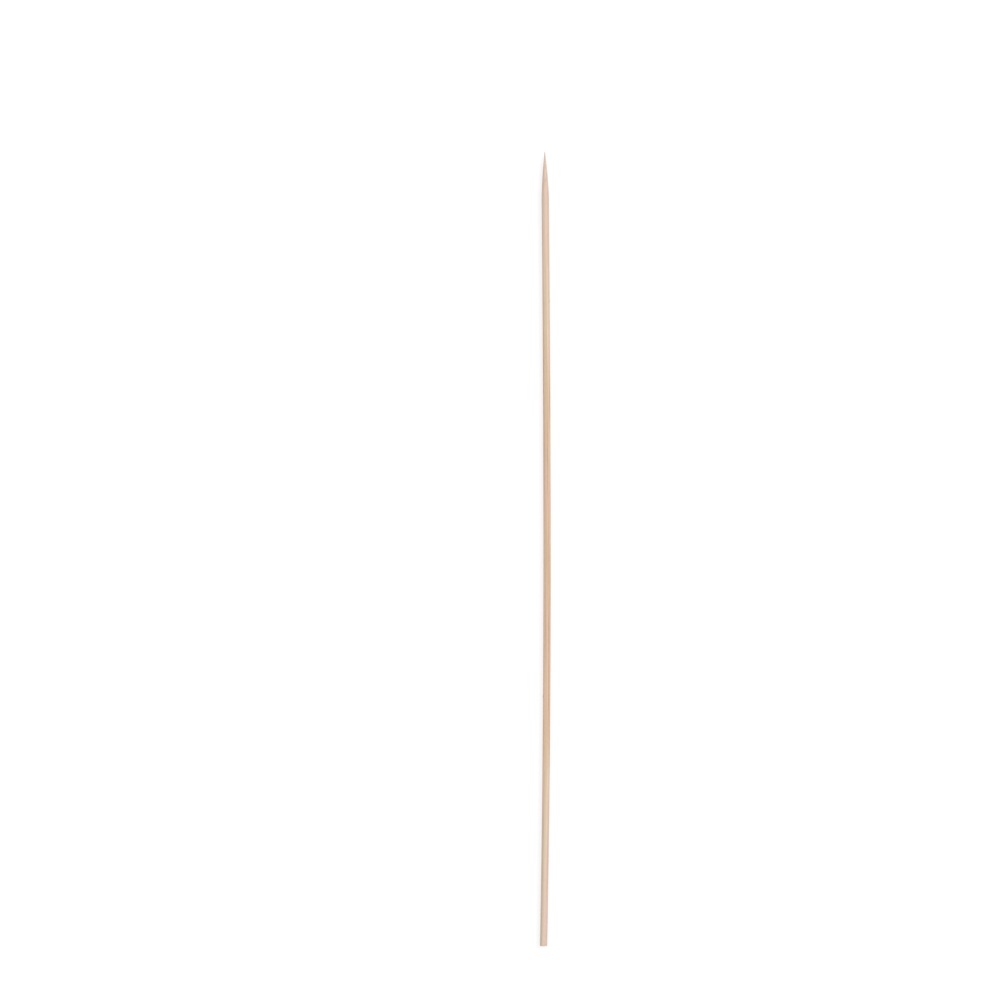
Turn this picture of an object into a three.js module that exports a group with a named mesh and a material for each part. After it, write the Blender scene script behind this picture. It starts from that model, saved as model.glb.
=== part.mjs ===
// A bamboo kebab skewer: one slim round stick, sawn square at the butt and ground to a point.
// It lies on a table with its point towards +Y. Lengths are in millimetres and +Z is up.

import * as THREE from "three";

// Driving dimensions of the stick
const length = 300; // from the butt face to the tip
const width = 2.8; // thickness of the shaft from side to side
const height = 2.7; // thickness from the table up: a stick is never quite round and lies flat way down
const pointLength = 18; // from the tip to where the shaft has its full thickness
const pointCurve = 1.5; // how the point swells: 1 is a plain cone, 2 a full round ogive
const noseRadius = 0.15; // the small blunt nose that grinding leaves on the tip
const buttEdgeRadius = 0.2; // the rim of the butt face, rounded off where sticks are tumbled smooth
const bow = 1.1; // how far the middle stands off a straight line between the two ends
const bowLean = 0.25; // how much of that bend is shifted out of the point's half into the butt's

// Fineness of the faces
const sides = 32;
const shaftSteps = 36;
const pointSteps = 16;
const cornerSteps = 4;

const radius = width / 2;

// The nose ends where its surface has the slope at which the ground point leaves it.
const noseTurn = Math.atan2(pointLength - noseRadius, pointCurve * (radius - noseRadius));
const noseEdge = noseRadius * Math.sin(noseTurn);
const noseLength = noseRadius * (1 - Math.cos(noseTurn));

// Half of the stick's outline, from the middle of the butt face to the tip:
// x is the distance from the axis and y the distance from the butt.
function outline() {
  const points = [new THREE.Vector2(0, 0)];

  for (let i = 0; i <= cornerSteps; i++) {
    const turn = (Math.PI / 2) * (i / cornerSteps);
    const fromAxis = radius - buttEdgeRadius * (1 - Math.sin(turn));
    const fromButt = buttEdgeRadius * (1 - Math.cos(turn));
    points.push(new THREE.Vector2(fromAxis, fromButt));
  }

  const pointStart = length - pointLength;
  for (let i = 1; i < shaftSteps; i++) {
    const y = THREE.MathUtils.lerp(buttEdgeRadius, pointStart, i / shaftSteps);
    points.push(new THREE.Vector2(radius, y));
  }

  // The ground point leaves the shaft without an edge and narrows faster and faster.
  for (let i = 0; i < pointSteps; i++) {
    const share = i / pointSteps;
    const fromAxis = radius - (radius - noseEdge) * share ** pointCurve;
    const y = THREE.MathUtils.lerp(pointStart, length - noseLength, share);
    points.push(new THREE.Vector2(fromAxis, y));
  }

  for (let i = cornerSteps; i >= 0; i--) {
    const turn = noseTurn * (i / cornerSteps);
    const fromTip = noseRadius * (1 - Math.cos(turn));
    points.push(new THREE.Vector2(noseRadius * Math.sin(turn), length - fromTip));
  }
  return points;
}

// How far the section at a share of the length, counted from the butt, stands to the side.
function aside(share) {
  return 4 * share * (1 - share) * (bow + bowLean * (1 - 2 * share));
}

// Moves each section of the straight stick sideways, so that the butt face stays square.
function bend(geometry) {
  const position = geometry.attributes.position;
  for (let i = 0; i < position.count; i++) {
    position.setX(i, position.getX(i) + aside(position.getY(i) / length));
  }
}

// Lays the stick on the table, with the origin under the middle of its box.
function layDown(geometry) {
  geometry.computeBoundingBox();
  const box = geometry.boundingBox;
  geometry.translate(-(box.min.x + box.max.x) / 2, -length / 2, -box.min.z);
}

function makeSkewer() {
  const geometry = new THREE.LatheGeometry(outline(), sides);
  geometry.scale(1, 1, height / width);
  bend(geometry);
  layDown(geometry);

  const bamboo = new THREE.MeshStandardMaterial({
    color: 0xdcbfa3,
    roughness: 0.6,
    metalness: 0,
  });
  const skewer = new THREE.Mesh(geometry, bamboo);
  skewer.name = "skewer";
  return skewer;
}

const part = new THREE.Group();
part.add(makeSkewer());

export default part;
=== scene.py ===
# A bamboo kebab skewer on a white table, seen from straight above.
# The skewer lies along Y with its point towards +Y. Lengths are in metres unless a name ends in _MM.
# A side of the stick is an angle in degrees, from +X over the top.

import math

import bpy
import numpy as np
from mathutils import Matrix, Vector, noise


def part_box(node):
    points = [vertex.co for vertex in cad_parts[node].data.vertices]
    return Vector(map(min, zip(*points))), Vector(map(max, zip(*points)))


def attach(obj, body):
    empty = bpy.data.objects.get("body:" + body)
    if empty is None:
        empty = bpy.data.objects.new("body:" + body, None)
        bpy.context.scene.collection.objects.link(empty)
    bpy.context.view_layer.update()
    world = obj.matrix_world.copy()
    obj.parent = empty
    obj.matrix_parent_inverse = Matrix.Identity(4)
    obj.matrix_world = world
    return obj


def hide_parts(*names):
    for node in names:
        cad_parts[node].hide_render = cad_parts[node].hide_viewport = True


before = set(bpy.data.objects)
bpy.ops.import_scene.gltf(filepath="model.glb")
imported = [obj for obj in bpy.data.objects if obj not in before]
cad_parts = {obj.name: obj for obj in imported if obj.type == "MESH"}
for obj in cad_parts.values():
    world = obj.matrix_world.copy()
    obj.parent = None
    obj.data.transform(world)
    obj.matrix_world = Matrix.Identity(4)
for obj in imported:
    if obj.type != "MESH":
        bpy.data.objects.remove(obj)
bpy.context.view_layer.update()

MM = 0.001

# The stick: its length and height come from the frame, the rest are the sizes it was cut to.
LOW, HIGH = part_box("skewer")
LENGTH_MM = (HIGH.y - LOW.y) / MM
HEIGHT_MM = (HIGH.z - LOW.z) / MM
WIDTH_MM = 2.8
RADIUS_MM = WIDTH_MM / 2
FLATTEN = HEIGHT_MM / WIDTH_MM
POINT_LENGTH_MM = 18.0
POINT_CURVE = 1.5  # how the point swells: 1 is a plain cone, 2 a full round ogive
NOSE_RADIUS_MM = 0.15
BUTT_EDGE_MM = 0.2
BOW_MM = 1.1
BOW_LEAN_MM = 0.25

# Fineness of the skin
SIDES = 192
SHAFT_STEP_MM = 0.75
POINT_STEP_MM = 0.3
BUTT_STEP_MM = 0.25
BUTT_STRETCH_MM = 3.0  # chips lie within this distance of the butt face
CORNER_STEPS = 5
FACE_RINGS = 18

# The corners of a square, in turn
SQUARE = ((-1, -1), (1, -1), (1, 1), (-1, 1))


def hex_colour(code):
    """A colour written as sRGB hex, as the linear values that Blender's sockets hold."""
    parts = [int(code[i:i + 2], 16) / 255 for i in (0, 2, 4)]
    linear = [c / 12.92 if c <= 0.04045 else ((c + 0.055) / 1.055) ** 2.4 for c in parts]
    return (*linear, 1.0)


def add_node(tree, kind, settings=None, inputs=None):
    """Adds one node. An input's value may be a socket, which then feeds it."""
    made = tree.nodes.new(kind)
    for name, value in (settings or {}).items():
        setattr(made, name, value)
    for name, value in (inputs or {}).items():
        if isinstance(value, bpy.types.NodeSocket):
            tree.links.new(value, made.inputs[name])
        else:
            made.inputs[name].default_value = value
    return made


def new_material(name):
    """An empty node material."""
    material = bpy.data.materials.new(name)
    material.use_nodes = True
    material.node_tree.nodes.clear()
    return material


def add_object(name, data):
    """Puts a mesh, a lamp or a camera in the scene."""
    made = bpy.data.objects.new(name, data)
    bpy.context.scene.collection.objects.link(made)
    return made


def fill_attribute(mesh, name, values):
    """Gives each vertex a number or a vector that the material reads by name."""
    values = np.asarray(values, np.float32)
    kind, field = ("FLOAT", "value") if values.ndim == 1 else ("FLOAT_VECTOR", "vector")
    made = mesh.attributes.new(name, kind, "POINT")
    made.data.foreach_set(field, values.ravel())


def smooth(share):
    """0 up to share 0, 1 from share 1, and an even curve between."""
    share = np.clip(share, 0, 1)
    return share * share * (3 - 2 * share)


def degrees_from(side, angle):
    """How far round the stick each angle, in radians, lies from a side: -180 to 180 degrees."""
    return (np.degrees(angle) - side + 180) % 360 - 180


# The straight stick, before it is bent: x to the side, y from the butt face, z up from its axis

def stick_rings():
    """The distance from the butt and the mean radius of each ring of the skin, from butt face to nose."""
    face = np.linspace(0, RADIUS_MM - BUTT_EDGE_MM, FACE_RINGS + 1)[1:]
    rings = [(0.0, radius) for radius in face]

    for turn in np.linspace(0, math.pi / 2, CORNER_STEPS + 1)[1:]:
        rings.append((
            BUTT_EDGE_MM * (1 - math.cos(turn)),
            RADIUS_MM - BUTT_EDGE_MM * (1 - math.sin(turn)),
        ))

    point_start = LENGTH_MM - POINT_LENGTH_MM
    stretches = (
        (BUTT_EDGE_MM, BUTT_STRETCH_MM, BUTT_STEP_MM),
        (BUTT_STRETCH_MM, point_start, SHAFT_STEP_MM),
    )
    for start, end, step in stretches:
        count = round((end - start) / step)
        rings += [(along, RADIUS_MM) for along in np.linspace(start, end, count + 1)[1:]]

    # The nose takes over where its surface has the slope at which the ground point arrives.
    nose_turn = math.atan2(
        POINT_LENGTH_MM - NOSE_RADIUS_MM,
        POINT_CURVE * (RADIUS_MM - NOSE_RADIUS_MM),
    )
    nose_edge = NOSE_RADIUS_MM * math.sin(nose_turn)
    nose_start = LENGTH_MM - NOSE_RADIUS_MM * (1 - math.cos(nose_turn))
    steps = round(POINT_LENGTH_MM / POINT_STEP_MM)
    for share in np.linspace(0, 1, steps + 1)[1:]:
        along = point_start + (nose_start - point_start) * share
        rings.append((along, RADIUS_MM - (RADIUS_MM - nose_edge) * share ** POINT_CURVE))

    for turn in np.linspace(nose_turn, 0, CORNER_STEPS + 1)[1:-1]:
        rings.append((
            LENGTH_MM - NOSE_RADIUS_MM * (1 - math.cos(turn)),
            NOSE_RADIUS_MM * math.sin(turn),
        ))
    return np.array(rings)


# The bamboo itself: bundles of fibres run the length of the culm in softer, paler ground tissue.
# A skewer is never cut quite along them, so each comes to the skin as a long streak and dips under
# it again, is cut to an arch on the ground point, and shows as a dot on the sawn end.
BUNDLE_SEED = 11
BUNDLE_SPACING_MM = 0.52
BUNDLE_RADIUS_MM = (0.11, 0.2)
BUNDLE_SCATTER = 0.2  # how far a bundle stands off its place in the even pattern, in spacings
BUNDLE_TONE = (0.35, 1.0)
BUNDLE_EDGE = 1.6  # how sharply a bundle ends: 1 fades from its very middle
GRAIN_SLOPE = (0.0055, 0.0018)  # sideways and upwards, for each millimetre along
GRAIN_WANDER_MM = 0.09
GRAIN_WAVE_MM = (60.0, 130.0)


def place_bundles():
    """Each bundle's place at mid-length, radius, depth of colour, and the length and start of its waves."""
    rng = np.random.default_rng(BUNDLE_SEED)
    drift = [abs(slope) * LENGTH_MM / 2 for slope in GRAIN_SLOPE]
    reach = [RADIUS_MM + BUNDLE_RADIUS_MM[1] + extra for extra in drift]
    row_height = BUNDLE_SPACING_MM * math.sin(math.pi / 3)
    bundles = []
    for row, z in enumerate(np.arange(-reach[1], reach[1], row_height)):
        offset = BUNDLE_SPACING_MM / 2 * (row % 2)
        for x in np.arange(-reach[0] + offset, reach[0], BUNDLE_SPACING_MM):
            moved = rng.uniform(-BUNDLE_SCATTER, BUNDLE_SCATTER, 2) * BUNDLE_SPACING_MM
            bundles.append((
                x + moved[0],
                z + moved[1],
                rng.uniform(*BUNDLE_RADIUS_MM),
                rng.uniform(*BUNDLE_TONE),
                rng.uniform(*GRAIN_WAVE_MM),
                rng.uniform(0, 2 * math.pi),
            ))
    return bundles


def find_bundles(straight):
    """For each point, how deep it lies in a bundle of fibres, from 0 in ground tissue to 1 in the middle
    of a dark bundle, and where it is from the middle of the nearest one, in radii of that bundle."""
    x, along, z = straight.T
    strength = np.zeros(len(straight))
    nearest = np.full(len(straight), np.inf)
    offset = np.zeros((len(straight), 3))
    beyond = along - LENGTH_MM / 2
    for middle_x, middle_z, radius, tone, wave, start in place_bundles():
        wander = GRAIN_WANDER_MM * np.sin(2 * math.pi * along / wave + start)
        off_x = (x - middle_x - GRAIN_SLOPE[0] * beyond - wander) / radius
        off_z = (z - middle_z - GRAIN_SLOPE[1] * beyond) / radius
        away = np.hypot(off_x, off_z)
        strength = np.maximum(strength, tone * smooth(BUNDLE_EDGE * (1 - away)))
        closer = away < nearest
        nearest = np.where(closer, away, nearest)
        offset[closer, 0] = off_x[closer]
        offset[closer, 2] = off_z[closer]
    return strength, offset


# Where the culm's greener outer skin lies close under the surface: middle and half length along the
# stick, the side it is on, and its half width round the stick in degrees
SKIN_STREAKS = (
    (22.0, 46.0, 122.0, 30.0),
    (62.0, 36.0, 98.0, 20.0),
    (146.0, 24.0, 84.0, 15.0),
    (198.0, 30.0, 76.0, 18.0),
    (228.0, 44.0, 98.0, 24.0),
    (150.0, 90.0, 235.0, 40.0),
)


def skin_nearness(along, angle):
    """0 to 1: how much of the culm's greener outer skin tints each point."""
    near = np.zeros(len(along))
    for middle, half_length, side, half_width in SKIN_STREAKS:
        off = degrees_from(side, angle)
        spread = ((along - middle) / half_length) ** 2 + (off / half_width) ** 2
        near = np.maximum(near, smooth(1 - spread))
    return near


# Flats, where the split strip was a little too thin to fill the round cutter: start and end along
# the stick, the side, and the depth
FLATS = (
    (62.0, 141.0, 24.0, 0.05),
    (160.0, 236.0, 158.0, 0.045),
    (12.0, 88.0, 205.0, 0.06),
)
FLAT_FADE_MM = 14.0
FLAT_LIMIT = math.cos(math.radians(60))  # no flat reaches more than 60 degrees round from its side

# Small nicks torn out of the skin: distance along, side, half length, half width and depth
NICKS = (
    (93.6, 172.0, 1.9, 0.26, 0.14),
    (0.2, 60.0, 0.9, 0.3, 0.12),
    (0.1, 205.0, 0.6, 0.3, 0.1),
    (137.2, 71.0, 1.4, 0.14, 0.06),
    (201.5, 118.0, 2.2, 0.12, 0.05),
    (246.0, 12.0, 1.5, 0.18, 0.07),
    (44.0, 95.0, 1.1, 0.15, 0.06),
    (286.0, 140.0, 1.2, 0.16, 0.05),
)

GROUND_WEAR_MM = 0.012  # how far tumbling wears the soft ground tissue below the fibres
FIBRE_RELIEF_MM = 0.01
FIBRE_ACROSS_MM = 0.22
FIBRE_ALONG_MM = 14.0
SWELL_MM = 0.025  # slow changes in thickness left by the cutter
SWELL_ALONG_MM = 45.0
SWELL_LINE = (5.3, 1.7)  # the line through the noise that the swell is read from
SAW_RELIEF_MM = 0.03
DEEPEST_WEAR = 0.35  # the most that may be gone, as a share of the radius, so that the nose stays


def wear(straight, along, angle, radius, strength):
    """How much less than its mean radius the stick measures at each point. Nothing is more than that."""
    flat = np.zeros(len(along))
    for start, end, side, depth in FLATS:
        fade = smooth((along - start) / FLAT_FADE_MM) * smooth((end - along) / FLAT_FADE_MM)
        facing = np.cos(np.radians(degrees_from(side, angle)))
        reach = (RADIUS_MM - depth * fade) / np.maximum(facing, FLAT_LIMIT)
        flat = np.maximum(flat, np.where(facing > FLAT_LIMIT, RADIUS_MM - reach, 0))

    nick = np.zeros(len(along))
    for middle, side, half_length, half_width, depth in NICKS:
        off = np.radians(degrees_from(side, angle)) * RADIUS_MM
        spread = ((along - middle) / half_length) ** 2 + (off / half_width) ** 2
        nick = np.maximum(nick, depth * smooth(1 - spread))

    fibre = np.array([
        noise.noise(Vector((x / FIBRE_ACROSS_MM, y / FIBRE_ALONG_MM, z / FIBRE_ACROSS_MM)))
        for x, y, z in straight
    ])
    swell = np.array([
        noise.noise(Vector((SWELL_LINE[0], y / SWELL_ALONG_MM, SWELL_LINE[1]))) for y in along
    ])
    loss = flat + nick + GROUND_WEAR_MM * (1 - strength)
    loss += FIBRE_RELIEF_MM * (0.5 + 0.5 * fibre) + SWELL_MM * (0.5 + 0.5 * swell)
    return np.minimum(loss, DEEPEST_WEAR * radius)


def aside(along):
    """How far the bowed stick stands to the side, in mm, at a distance from its butt."""
    share = along / LENGTH_MM
    return 4 * share * (1 - share) * (BOW_MM + BOW_LEAN_MM * (1 - 2 * share))


def to_frame(straight):
    """Takes points of the straight stick, in mm, to where the bowed one lies in the frame, in metres."""
    x, along, z = straight.T
    butt_x = LOW.x / MM + RADIUS_MM
    placed = np.stack((x + aside(along) + butt_x, along + LOW.y / MM, z + HEIGHT_MM / 2), axis=1)
    return placed * MM


# The skin laid out flat for a texture: cut into lengths that lie side by side, with the butt's face
# in one more band beside them
UNROLLED_LENGTHS = 6
UNROLLED_BANDS = UNROLLED_LENGTHS + 1
UNROLLED_MARGIN = 0.03


def unrolled_face_spot(radius, side):
    """Where a point of the butt's face lies on the texture."""
    turn = 2 * math.pi * side / SIDES
    out = radius / RADIUS_MM * (0.5 - UNROLLED_MARGIN) / UNROLLED_BANDS
    return (
        0.5 / UNROLLED_BANDS + out * math.cos(turn),
        (UNROLLED_LENGTHS + 0.5) / UNROLLED_BANDS + out * math.sin(turn),
    )


def unrolled_skin_spot(along, side, band):
    """Where a point of the skin lies on the texture, in the band of its length of the stick."""
    from_start = along / LENGTH_MM * UNROLLED_LENGTHS - band
    end_margin = UNROLLED_MARGIN / UNROLLED_LENGTHS
    return (
        end_margin + (1 - 2 * end_margin) * from_start,
        (band + UNROLLED_MARGIN + (1 - 2 * UNROLLED_MARGIN) * side / SIDES) / UNROLLED_BANDS,
    )


def unroll(mesh, rings):
    """Lays the skin out flat. Its first vertex is the middle of the butt's face and its last the tip."""
    layer = mesh.uv_layers.new(name="OFBake")
    spots = np.zeros((len(mesh.loops), 2))
    tip = 1 + len(rings) * SIDES
    for face in mesh.polygons:
        corners = list(face.vertices)
        ring_of = [min(max((c - 1) // SIDES, 0), len(rings) - 1) for c in corners]
        sides = [(c - 1) % SIDES for c in corners]
        on_rings = [s for c, s in zip(corners, sides) if 0 < c < tip]
        if max(on_rings) - min(on_rings) > SIDES // 2:
            sides = [s + SIDES if s < SIDES // 2 else s for s in sides]
        share = rings[min(ring_of), 0] / LENGTH_MM
        band = min(int(share * UNROLLED_LENGTHS), UNROLLED_LENGTHS - 1)
        for loop, corner, ring, side in zip(face.loop_indices, corners, ring_of, sides):
            if max(ring_of) < FACE_RINGS:
                radius = 0.0 if corner == 0 else rings[ring, 1]
                spots[loop] = unrolled_face_spot(radius, side)
            elif corner == tip:
                spots[loop] = unrolled_skin_spot(LENGTH_MM, on_rings[0] + 0.5, band)
            else:
                spots[loop] = unrolled_skin_spot(rings[ring, 0], side, band)
    layer.uv.foreach_set("vector", spots.astype(np.float32).ravel())


def skin_faces(ring_count):
    """The faces between the middle of the butt, the rings and the tip."""
    faces = [(0, 1 + side, 1 + (side + 1) % SIDES) for side in range(SIDES)]
    for ring in range(ring_count - 1):
        start = 1 + ring * SIDES
        for side in range(SIDES):
            after = (side + 1) % SIDES
            faces.append((start + side, start + SIDES + side, start + SIDES + after, start + after))
    start = 1 + (ring_count - 1) * SIDES
    tip = start + SIDES
    faces += [(start + side, tip, start + (side + 1) % SIDES) for side in range(SIDES)]
    return faces


def make_skin():
    """The whole stick as one closed skin, with its wear, its bow, and what its material reads of it."""
    rings = stick_rings()
    along = np.repeat(rings[:, 0], SIDES)
    radius = np.repeat(rings[:, 1], SIDES)
    angle = np.tile(np.arange(SIDES) * 2 * math.pi / SIDES, len(rings))

    # The middle of the butt's face comes before the rings, and the tip after them.
    straight = np.stack((radius * np.cos(angle), along, radius * np.sin(angle) * FLATTEN), axis=1)
    butt_middle = [[0.0, SAW_RELIEF_MM / 2, 0.0]]
    tip = [[0.0, LENGTH_MM, 0.0]]
    unworn = np.vstack((butt_middle, straight, tip))
    strength, offset = find_bundles(unworn)

    loss = wear(straight, along, angle, radius, strength[1:-1])
    kept = (radius - loss) / radius
    worn = straight * np.stack((kept, np.ones_like(kept), kept), axis=1)

    # The saw leaves the fibres a little proud of the face, and the face itself uneven.
    on_face = smooth(1 - along / BUTT_EDGE_MM)
    worn[:, 1] += on_face * SAW_RELIEF_MM * (1 - strength[1:-1])

    faces = skin_faces(len(rings))
    mesh = bpy.data.meshes.new("bamboo_stick")
    mesh.from_pydata(to_frame(np.vstack((butt_middle, worn, tip))).tolist(), [], faces)
    mesh.polygons.foreach_set("use_smooth", [True] * len(faces))
    unroll(mesh, rings)
    fill_attribute(mesh, "straight_mm", unworn)
    fill_attribute(mesh, "bundle", strength)
    fill_attribute(mesh, "from_bundle", offset)
    fill_attribute(mesh, "outer_skin", np.concatenate(([0.0], skin_nearness(along, angle), [0.0])))
    fill_attribute(mesh, "cut_across", np.concatenate(([1.0], on_face, [0.0])))
    mesh.materials.append(bamboo_material())
    return add_object("bamboo_stick", mesh)


# Slivers of fibre that have split off the skin at one end and stand up from it: where each has its
# root, as a distance along and a side, its length, negative towards the butt, how far its free end is
# lifted, and its width at the root
LIFTED_FIBRES = (
    (242.1, 10.0, 2.4, 0.45, 0.18),
    (96.0, 174.0, -3.2, 0.4, 0.14),
    (95.1, 181.0, -1.8, 0.18, 0.06),
    (66.5, 4.0, 3.8, 0.26, 0.06),
    (128.4, 163.0, 2.3, 0.22, 0.06),
    (174.0, 41.0, -2.7, 0.16, 0.05),
    (206.3, 152.0, 3.4, 0.2, 0.06),
    (153.2, 338.0, 2.9, 0.22, 0.06),
    (34.0, 16.0, -2.2, 0.2, 0.06),
    (263.5, 176.0, 2.6, 0.18, 0.05),
    (279.8, 52.0, 2.1, 0.12, 0.05),
    (2.1, 64.0, -2.5, 0.12, 0.08),
    (1.9, 149.0, -2.1, 0.16, 0.07),
    (1.6, 12.0, -2.0, 0.1, 0.07),
)
SLIVER_STEPS = 10
SLIVER_ROOT_DEPTH_MM = 0.08
SLIVER_LIFT_CURVE = 2.2  # above 1, a sliver bends away from the skin faster and faster
SLIVER_CURL_MM = 0.12  # how far the free end turns to the side
SLIVER_TAPER = 0.75  # the share of its width that a sliver has lost at its free end
SLIVER_THICKNESS = 0.5  # as a share of its width


def sliver_points(profile, root, side, reach, lift, width):
    """Four corners to a ring, sunk in the skin at the root and tapering to the free end."""
    turn = math.radians(side)
    out = np.array([math.cos(turn), 0.0, math.sin(turn) * FLATTEN])
    across = np.array([-math.sin(turn), 0.0, math.cos(turn) * FLATTEN])
    points = []
    for share in np.linspace(0, 1, SLIVER_STEPS + 1):
        along = root + reach * share
        skin = np.interp(along, profile[:, 0], profile[:, 1])
        raised = skin - SLIVER_ROOT_DEPTH_MM * (1 - share) + lift * share ** SLIVER_LIFT_CURVE
        curled = SLIVER_CURL_MM * share ** 2
        middle = out * raised + across * curled + np.array([0.0, along, 0.0])
        half_width = width / 2 * (1 - SLIVER_TAPER * share)
        half_thickness = half_width * SLIVER_THICKNESS
        for to_side, outwards in SQUARE:
            points.append(middle + across * to_side * half_width + out * outwards * half_thickness)
    return points


def sliver_faces(towards_butt):
    """The faces of one closed strip, which point outwards whichever way it runs."""
    corners = len(SQUARE)
    last = corners * SLIVER_STEPS
    faces = [[3, 2, 1, 0]]
    for ring in range(0, last, corners):
        next_ring = ring + corners
        for corner in range(corners):
            after = (corner + 1) % corners
            faces.append([ring + corner, ring + after, next_ring + after, next_ring + corner])
    faces.append([last + corner for corner in range(corners)])
    return [face[::-1] for face in faces] if towards_butt else faces


def make_slivers():
    """Every lifted sliver, in one mesh."""
    profile = stick_rings()[FACE_RINGS + CORNER_STEPS:]  # without the butt's rounded rim
    points, faces = [], []
    for root, side, reach, lift, width in LIFTED_FIBRES:
        start = len(points)
        points += sliver_points(profile, root, side, reach, lift, width)
        faces += [[start + corner for corner in face] for face in sliver_faces(reach < 0)]
    straight = np.array(points)

    mesh = bpy.data.meshes.new("lifted_fibres")
    mesh.from_pydata(to_frame(straight).tolist(), [], faces)
    fill_attribute(mesh, "straight_mm", straight)
    mesh.materials.append(sliver_material())
    return add_object("lifted_fibres", mesh)


# The bamboo's patterns, each with its width across the grain and its length along it. Single fibres,
# about 0.015 mm thick, are too fine to show. They are drawn as lines 0.07 mm wide, which show close
# by, and as strands 0.28 mm wide, which show when the whole skewer is in view.
FIBRE_LINE_MM = (0.07, 16.0)
STRAND_MM = (0.28, 38.0)
PALE_STREAK_MM = (0.6, 70.0)
PINK_STREAK_MM = (0.7, 50.0)
OPENED_MM = (0.4, 11.0)  # the stretches where tumbling has opened the vessels
DRIFT_MM = (30.0, 70.0)  # slow changes of colour from one part of the culm to the next
SLIVER_THREAD_MM = (0.05, 1.5)
FIBRE_BUMP_MM = 0.03  # how proud a fibre line or a strand stands

# How far from its middle the stick starts to turn paler and less yellow, and where it is fully so
PALER_FROM_MM = 55.0
PALER_TO_MM = 140.0

# The two vessels of a bundle, in radii of that bundle: how far each stands from its middle, the radius
# at which a vessel is fully dark, and the one at which it ends
VESSEL_MIDDLE = 0.34
VESSEL_INNER = 0.14
VESSEL_OUTER = 0.26
VESSEL_TONE = 0.25  # a vessel fades out where its bundle is fainter than this
VESSEL_DEPTH = 1.5  # against the height of a fibre line


def streaks(tree, place, size_mm, detail=2.0, offset=(0.0, 0.0, 0.0)):
    """Noise drawn out along the grain, about as wide and as long as size_mm says, from 0 to 1."""
    across_mm, along_mm = size_mm
    moved = add_node(tree, "ShaderNodeVectorMath", {"operation": "ADD"}, {0: place, 1: offset})
    drawn = add_node(tree, "ShaderNodeVectorMath", {"operation": "MULTIPLY"}, {
        0: moved.outputs[0],
        1: (1 / across_mm, 1 / along_mm, 1 / across_mm),
    })
    cloud = add_node(tree, "ShaderNodeTexNoise", inputs={
        "Vector": drawn.outputs[0],
        "Scale": 1.0,
        "Detail": detail,
        "Roughness": 0.55,
    })
    # Noise seldom leaves the middle of its range, so that part is drawn out to the whole.
    return add_node(tree, "ShaderNodeMapRange", inputs={
        "Value": cloud.outputs["Fac"],
        "From Min": 0.3,
        "From Max": 0.7,
    }).outputs["Result"]


def tinted(tree, under, over, amount, share):
    """The colour under, with the colour over laid on it by amount times share."""
    strength = add_node(tree, "ShaderNodeMath", {"operation": "MULTIPLY"}, {0: amount, 1: share})
    # This node has sockets for each type of value: colours go in at 6 and 7 and come out at 2.
    return add_node(tree, "ShaderNodeMix", {"data_type": "RGBA"}, {
        0: strength.outputs[0],
        6: under,
        7: over,
    }).outputs[2]


def vessels(tree, bundle, opened):
    """The two hollow vessels in each bundle, 0.06 to 0.1 mm across: fine brown grooves where tumbling has
    opened them, and pores on the sawn end."""
    offset = add_node(tree, "ShaderNodeAttribute", {"attribute_name": "from_bundle"}).outputs["Vector"]
    folded = add_node(tree, "ShaderNodeVectorMath", {"operation": "ABSOLUTE"}, {0: offset}).outputs[0]
    away = add_node(tree, "ShaderNodeVectorMath", {"operation": "DISTANCE"}, {
        0: folded,
        1: (VESSEL_MIDDLE, 0.0, 0.0),
    }).outputs["Value"]
    hollow = add_node(tree, "ShaderNodeMapRange", {"interpolation_type": "SMOOTHSTEP"}, {
        "Value": away,
        "From Min": VESSEL_OUTER,
        "From Max": VESSEL_INNER,
    }).outputs["Result"]
    inside = add_node(tree, "ShaderNodeMapRange", inputs={
        "Value": bundle,
        "From Max": VESSEL_TONE,
    }).outputs["Result"]
    within = add_node(tree, "ShaderNodeMath", {"operation": "MULTIPLY"}, {0: hollow, 1: inside})
    return add_node(tree, "ShaderNodeMath", {"operation": "MULTIPLY"}, {
        0: within.outputs[0],
        1: opened,
    }).outputs[0]


def paler_ends(tree, place):
    """0 in the middle of the stick, rising to 1 at both ends, where the colour is laid on paler and less
    yellow.
    """
    along = add_node(tree, "ShaderNodeSeparateXYZ", inputs={0: place}).outputs["Y"]
    beyond = add_node(tree, "ShaderNodeMath", {"operation": "SUBTRACT"}, {0: along, 1: LENGTH_MM / 2})
    away = add_node(tree, "ShaderNodeMath", {"operation": "ABSOLUTE"}, {0: beyond.outputs[0]})
    return add_node(tree, "ShaderNodeMapRange", {"interpolation_type": "SMOOTHSTEP"}, {
        "Value": away.outputs[0],
        "From Min": PALER_FROM_MM,
        "From Max": PALER_TO_MM,
    }).outputs["Result"]


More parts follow.
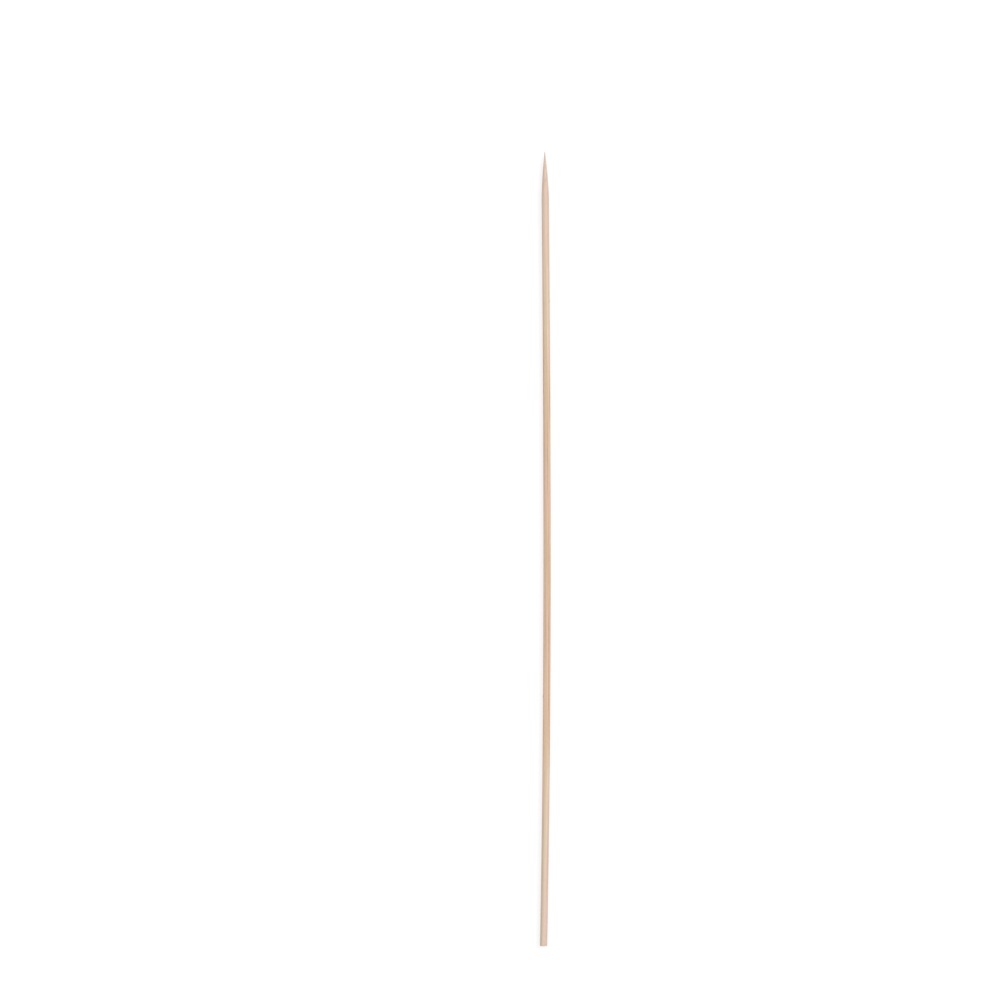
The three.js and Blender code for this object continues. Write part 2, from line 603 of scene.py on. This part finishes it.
def bamboo_material():
    """Bare bamboo, split, drawn round, ground and tumbled smooth, never varnished: a pale straw ground
    with soft lengthwise streaks, tan fibre lines, greener where the culm's skin was near, and a satin
    sheen."""
    material = new_material("bare_bamboo")
    tree = material.node_tree

    place = add_node(tree, "ShaderNodeAttribute", {"attribute_name": "straight_mm"}).outputs["Vector"]
    bundle = add_node(tree, "ShaderNodeAttribute", {"attribute_name": "bundle"}).outputs["Fac"]
    skin = add_node(tree, "ShaderNodeAttribute", {"attribute_name": "outer_skin"}).outputs["Fac"]
    cut = add_node(tree, "ShaderNodeAttribute", {"attribute_name": "cut_across"}).outputs["Fac"]

    pale = streaks(tree, place, PALE_STREAK_MM)
    pink = streaks(tree, place, PINK_STREAK_MM, offset=(31.0, 400.0, 7.0))
    strand = streaks(tree, place, STRAND_MM, detail=3.0, offset=(12.0, 200.0, 70.0))
    fibre = streaks(tree, place, FIBRE_LINE_MM, detail=3.0, offset=(3.0, 90.0, 55.0))
    drift = streaks(tree, place, DRIFT_MM, detail=1.0, offset=(80.0, 20.0, 9.0))
    patches = streaks(tree, place, OPENED_MM, detail=1.0, offset=(60.0, 30.0, 18.0))
    paler_share = paler_ends(tree, place)
    opened = add_node(tree, "ShaderNodeMath", {"operation": "MAXIMUM"}, {0: patches, 1: cut})
    vessel = vessels(tree, bundle, opened.outputs[0])
    sawn = add_node(tree, "ShaderNodeMath", {"operation": "MULTIPLY"}, {0: cut, 1: bundle})

    # The colours laid over the ground one by one, each with where it lies and its full strength
    tints = (
        ("F8E6D1", pale, 1.0),
        ("E2B19C", pink, 0.6),
        ("D3CFA2", skin, 0.75),
        ("C59A6E", strand, 0.45),
        ("B5845A", bundle, 0.6),
        ("BD9068", fibre, 0.3),
        ("EDD8CB", drift, 0.2),
        # Paler and less yellow towards both ends of the stick
        ("DECCC3", paler_share, 0.38),
        ("B98F66", cut, 0.5),
        ("7C5330", sawn.outputs[0], 0.75),
        ("6E4A2C", vessel, 0.65),
    )
    colour = hex_colour("ECCFB1")
    for code, amount, share in tints:
        colour = tinted(tree, colour, hex_colour(code), amount, share)

    # Satin along the fibres, and matt where the saw has torn them.
    tumbled = add_node(tree, "ShaderNodeMapRange", inputs={
        "Value": fibre,
        "To Min": 0.48,
        "To Max": 0.66,
    })
    roughness = add_node(tree, "ShaderNodeMath", {"operation": "MULTIPLY_ADD", "use_clamp": True}, {
        0: cut,
        1: 0.3,
        2: tumbled.outputs["Result"],
    })

    # Fibres and strands stand a little proud, and an open vessel is a groove.
    proud = add_node(tree, "ShaderNodeMath", {"operation": "ADD"}, {0: fibre, 1: strand})
    relief = add_node(tree, "ShaderNodeMath", {"operation": "MULTIPLY_ADD"}, {
        0: vessel,
        1: -VESSEL_DEPTH,
        2: proud.outputs[0],
    })
    bump = add_node(tree, "ShaderNodeBump", inputs={
        "Strength": 0.7,
        "Distance": FIBRE_BUMP_MM * MM,
        "Height": relief.outputs[0],
    })
    surface = add_node(tree, "ShaderNodeBsdfPrincipled", inputs={
        "Base Color": colour,
        "Roughness": roughness.outputs[0],
        "IOR": 1.5,
        "Normal": bump.outputs["Normal"],
    })
    add_node(tree, "ShaderNodeOutputMaterial", inputs={"Surface": surface.outputs[0]})
    return material


def sliver_material():
    """Split bamboo fibre, torn and never tumbled: drier, paler and more matt than the skin, with threads
    of tan."""
    material = new_material("split_fibre")
    tree = material.node_tree

    place = add_node(tree, "ShaderNodeAttribute", {"attribute_name": "straight_mm"}).outputs["Vector"]
    thread = streaks(tree, place, SLIVER_THREAD_MM)
    roughness = add_node(tree, "ShaderNodeMapRange", inputs={
        "Value": thread,
        "To Min": 0.6,
        "To Max": 0.75,
    })
    surface = add_node(tree, "ShaderNodeBsdfPrincipled", inputs={
        "Base Color": tinted(tree, hex_colour("EFE3D0"), hex_colour("D8BC94"), thread, 0.8),
        "Roughness": roughness.outputs["Result"],
        "IOR": 1.5,
    })
    add_node(tree, "ShaderNodeOutputMaterial", inputs={"Surface": surface.outputs[0]})
    return material


# The table, the camera and the lamps, which aren't part of the skewer
TABLE_HALF = 4.0
CAMERA_DISTANCE = 2.5

# Where the photograph shows the middle of each end, in pixels of its own square frame
PHOTO_SIZE = 1000
BUTT_PIXEL = Vector((543.5, 946.0))
TIP_PIXEL = Vector((544.8, 151.5))


def table_material():
    """Matt white paint: what looks at it sees plain white and the skewer's soft shadow, and the light
    that it gives back to the skewer is that of pale grey."""
    material = new_material("white_table")
    tree = material.node_tree

    path = add_node(tree, "ShaderNodeLightPath")
    seen = add_node(tree, "ShaderNodeMath", {"operation": "MAXIMUM"}, {
        0: path.outputs["Is Camera Ray"],
        1: path.outputs["Is Glossy Ray"],
    })
    seen = add_node(tree, "ShaderNodeMath", {"operation": "MAXIMUM"}, {
        0: seen.outputs[0],
        1: path.outputs["Is Transmission Ray"],
    })
    paint = add_node(tree, "ShaderNodeBsdfDiffuse", inputs={"Color": hex_colour("D0D0D0")})
    shadowed = add_node(tree, "ShaderNodeBsdfDiffuse", inputs={"Color": hex_colour("AAAAAA")})
    white = add_node(tree, "ShaderNodeEmission", inputs={
        "Color": hex_colour("FFFFFF"),
        "Strength": 0.66,
    })
    looked_at = add_node(tree, "ShaderNodeAddShader", inputs={
        0: shadowed.outputs[0],
        1: white.outputs[0],
    })
    surface = add_node(tree, "ShaderNodeMixShader", inputs={
        0: seen.outputs[0],
        1: paint.outputs[0],
        2: looked_at.outputs[0],
    })
    add_node(tree, "ShaderNodeOutputMaterial", inputs={"Surface": surface.outputs[0]})
    return material


def make_table():
    """The flat top that the skewer lies on."""
    corners = [(TABLE_HALF * x, TABLE_HALF * y, 0) for x, y in SQUARE]
    mesh = bpy.data.meshes.new("table_top")
    mesh.from_pydata(corners, [], [(0, 1, 2, 3)])
    mesh.materials.append(table_material())
    table = add_object("table_top", mesh)


def make_camera():
    """Looks straight down, so that both ends of the skewer land on their pixels of the photograph."""
    run = TIP_PIXEL - BUTT_PIXEL
    pixel = LENGTH_MM * MM / run.length
    roll = math.atan2(run.x, -run.y)
    middle = (TIP_PIXEL + BUTT_PIXEL) / 2 - Vector((PHOTO_SIZE / 2, PHOTO_SIZE / 2))
    right = Vector((math.cos(roll), math.sin(roll)))
    up = Vector((-math.sin(roll), math.cos(roll)))
    ends_middle = Vector((LOW.x + RADIUS_MM * MM, (LOW.y + HIGH.y) / 2))
    aim = ends_middle - right * middle.x * pixel + up * middle.y * pixel

    data = bpy.data.cameras.new("camera")
    data.sensor_width = 36.0
    data.lens = data.sensor_width * CAMERA_DISTANCE / (PHOTO_SIZE * pixel)
    data.clip_start = 0.1
    data.clip_end = 20.0
    camera = add_object("camera", data)
    camera.location = (aim.x, aim.y, HIGH.z / 2 + CAMERA_DISTANCE)
    camera.rotation_euler = (0.0, 0.0, roll)
    bpy.context.scene.camera = camera


def add_softbox(name, place, size, power):
    """A square soft lamp that faces the middle of the skewer."""
    data = bpy.data.lights.new(name, "AREA")
    data.size = size
    data.energy = power
    lamp = add_object(name, data)
    lamp.location = place
    lamp.rotation_euler = (-Vector(place)).to_track_quat("-Z", "Y").to_euler()


def light_studio():
    """Even white light from all round, a soft lamp from the right and beyond the point, and a weaker,
    larger one from the left."""
    world = bpy.data.worlds.new("studio")
    bpy.context.scene.world = world
    world.use_nodes = True
    tree = world.node_tree
    tree.nodes.clear()

    # The camera sees plain white, and the skewer is lit by less than that.
    path = add_node(tree, "ShaderNodeLightPath")
    strength = add_node(tree, "ShaderNodeMapRange", inputs={
        "Value": path.outputs["Is Camera Ray"],
        "To Min": 0.62,
        "To Max": 1.0,
    })
    sky = add_node(tree, "ShaderNodeBackground", inputs={
        "Color": hex_colour("FFFFFF"),
        "Strength": strength.outputs["Result"],
    })
    add_node(tree, "ShaderNodeOutputWorld", inputs={"Surface": sky.outputs[0]})

    add_softbox("key", place=(1.1, 0.5, 1.2), size=0.9, power=12.0)
    add_softbox("fill", place=(-1.0, -0.6, 1.4), size=1.2, power=6.0)


make_camera()
light_studio()
make_table()

stick = make_skin()
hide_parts("skewer")
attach(stick, "root")

slivers = make_slivers()
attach(slivers, "root")

bpy.context.scene.view_settings.view_transform = "Standard"
